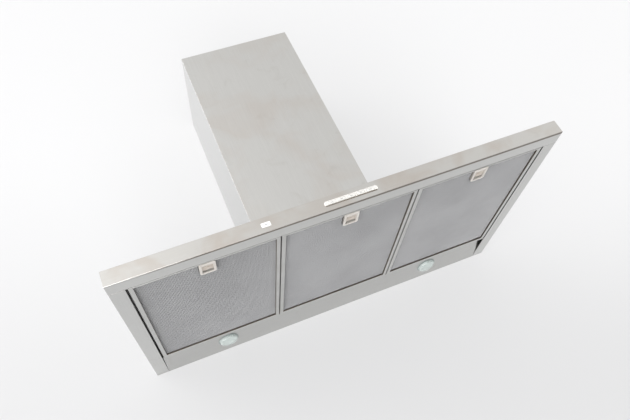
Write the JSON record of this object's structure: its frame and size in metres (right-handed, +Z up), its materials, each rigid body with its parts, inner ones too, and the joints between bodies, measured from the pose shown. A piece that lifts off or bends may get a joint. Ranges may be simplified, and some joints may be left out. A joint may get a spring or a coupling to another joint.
{
  "type": "wall-mounted chimney range hood",
  "caption": "Wall-mounted chimney range hood: thin flat rectangular canopy with grease filters, lamps and push buttons, under a tall telescoping box flue.",
  "frame": {"origin": "on the wall plane, at the middle of the canopy's rear bottom edge", "axes": "+X to the right seen from the front, +Y into the wall, +Z up; the hood is modelled as installed on a wall"},
  "size_m": [0.9, 0.5268, 0.6932],
  "materials": {
    "stainless": "brushed",
    "stainless_flue": "brushed",
    "bracket_steel": "satin",
    "filter_aluminium": "satin",
    "filter_mesh": "satin",
    "latch_plastic": "satin",
    "latch_slide_plastic": "satin",
    "spring_steel": "satin",
    "lamp_glass": "frosted",
    "reflector_aluminium": "polished",
    "bulb_glass": "clear",
    "ceramic": "matte",
    "black_plastic": "matte",
    "control_plastic": "satin",
    "button_plastic": "satin",
    "circuit_board": "satin",
    "label": "satin",
    "galvanised_steel": "satin",
    "motor_steel": "satin",
    "capacitor_plastic": "matte",
    "spigot_plastic": "matte",
    "zinc_plated": "satin"
  },
  "bodies": {
    "root": {"canopy_top_plate": "stainless", "front_fascia": "stainless", "side_cheek_left": "stainless", "side_cheek_right": "stainless", "rear_panel": "stainless", "lamp_panel": "stainless", "flue_lower": "stainless_flue", "hinge_brackets": "bracket_steel", "motor_bracket": "bracket_steel", "lamp_lens_left": "lamp_glass", "lamp_lens_right": "lamp_glass", "lamp_reflector_left": "reflector_aluminium", "lamp_reflector_right": "reflector_aluminium", "lamp_bulb_left": "bulb_glass", "lamp_bulb_right": "bulb_glass", "lamp_socket_left": "ceramic", "lamp_socket_right": "ceramic", "lamp_transformer": "black_plastic", "terminal_box": "black_plastic", "terminal_cover": "black_plastic", "cable_gland": "black_plastic", "control_bezel": "control_plastic", "control_board": "circuit_board", "front_label": "label", "blower_casing": "galvanised_steel", "blower_back_plate": "galvanised_steel", "scroll_left": "galvanised_steel", "scroll_right": "galvanised_steel", "motor": "motor_steel", "capacitor": "capacitor_plastic", "outlet_spigot": "spigot_plastic", "canopy_screws": "zinc_plated"},
    "filter_left": {"filter_left_frame": "filter_aluminium", "filter_left_face_mesh": "filter_mesh", "filter_left_rear_mesh": "filter_mesh", "latch_left_housing": "latch_plastic", "latch_left_spring": "spring_steel"},
    "latch_left": {"latch_left_slide": "latch_slide_plastic"},
    "filter_centre": {"filter_centre_frame": "filter_aluminium", "filter_centre_face_mesh": "filter_mesh", "filter_centre_rear_mesh": "filter_mesh", "latch_centre_housing": "latch_plastic", "latch_centre_spring": "spring_steel"},
    "latch_centre": {"latch_centre_slide": "latch_slide_plastic"},
    "filter_right": {"filter_right_frame": "filter_aluminium", "filter_right_face_mesh": "filter_mesh", "filter_right_rear_mesh": "filter_mesh", "latch_right_housing": "latch_plastic", "latch_right_spring": "spring_steel"},
    "latch_right": {"latch_right_slide": "latch_slide_plastic"},
    "button_1": {"button_1": "button_plastic"},
    "button_2": {"button_2": "button_plastic"},
    "button_3": {"button_3": "button_plastic"},
    "button_4": {"button_4": "button_plastic"},
    "button_5": {"button_5": "button_plastic"},
    "flue_upper": {"flue_upper": "stainless_flue"},
    "impeller": {"impeller": "galvanised_steel", "motor_shaft": "motor_steel"},
    "damper_flap_front": {"damper_flap_front": "spigot_plastic"},
    "damper_flap_rear": {"damper_flap_rear": "spigot_plastic"}
  },
  "joints": [
    {"name": "filter_left_swing", "type": "hinge", "parent": "root", "child": "filter_left", "pos_m": [-0.279, -0.098, 0.007], "axis": [1, 0, 0], "range_deg": [0, 75]},
    {"name": "filter_centre_swing", "type": "hinge", "parent": "root", "child": "filter_centre", "pos_m": [0, -0.098, 0.007], "axis": [1, 0, 0], "range_deg": [0, 75]},
    {"name": "filter_right_swing", "type": "hinge", "parent": "root", "child": "filter_right", "pos_m": [0.279, -0.098, 0.007], "axis": [1, 0, 0], "range_deg": [0, 75]},
    {"name": "latch_left_slide", "type": "slide", "parent": "filter_left", "child": "latch_left", "axis": [0, 1, 0], "range_m": [0, 0.006], "stiffness_N_per_m": 250, "springref_m": -0.004, "deforming": ["latch_left_spring"]},
    {"name": "latch_centre_slide", "type": "slide", "parent": "filter_centre", "child": "latch_centre", "axis": [0, 1, 0], "range_m": [0, 0.006], "stiffness_N_per_m": 250, "springref_m": -0.004, "deforming": ["latch_centre_spring"]},
    {"name": "latch_right_slide", "type": "slide", "parent": "filter_right", "child": "latch_right", "axis": [0, 1, 0], "range_m": [0, 0.006], "stiffness_N_per_m": 250, "springref_m": -0.004, "deforming": ["latch_right_spring"]},
    {"name": "button_1_press", "type": "slide", "parent": "root", "child": "button_1", "axis": [0, 1, 0], "range_m": [0, 0.0015], "stiffness_N_per_m": 300, "springref_m": -0.0015},
    {"name": "button_2_press", "type": "slide", "parent": "root", "child": "button_2", "axis": [0, 1, 0], "range_m": [0, 0.0015], "stiffness_N_per_m": 300, "springref_m": -0.0015},
    {"name": "button_3_press", "type": "slide", "parent": "root", "child": "button_3", "axis": [0, 1, 0], "range_m": [0, 0.0015], "stiffness_N_per_m": 300, "springref_m": -0.0015},
    {"name": "button_4_press", "type": "slide", "parent": "root", "child": "button_4", "axis": [0, 1, 0], "range_m": [0, 0.0015], "stiffness_N_per_m": 300, "springref_m": -0.0015},
    {"name": "button_5_press", "type": "slide", "parent": "root", "child": "button_5", "axis": [0, 1, 0], "range_m": [0, 0.0015], "stiffness_N_per_m": 300, "springref_m": -0.0015},
    {"name": "flue_upper_slide", "type": "slide", "parent": "root", "child": "flue_upper", "axis": [0, 0, 1], "range_m": [0, 0.38]},
    {"name": "impeller_spin", "type": "hinge", "parent": "root", "child": "impeller", "pos_m": [0, -0.118, 0.14], "axis": [1, 0, 0], "continuous": true},
    {"name": "damper_front_swing", "type": "hinge", "parent": "root", "child": "damper_flap_front", "pos_m": [0, -0.154, 0.345], "axis": [-1, 0, 0], "range_deg": [0, 80]},
    {"name": "damper_rear_swing", "type": "hinge", "parent": "root", "child": "damper_flap_rear", "pos_m": [0, -0.146, 0.345], "axis": [1, 0, 0], "range_deg": [0, 80]}
  ]
}
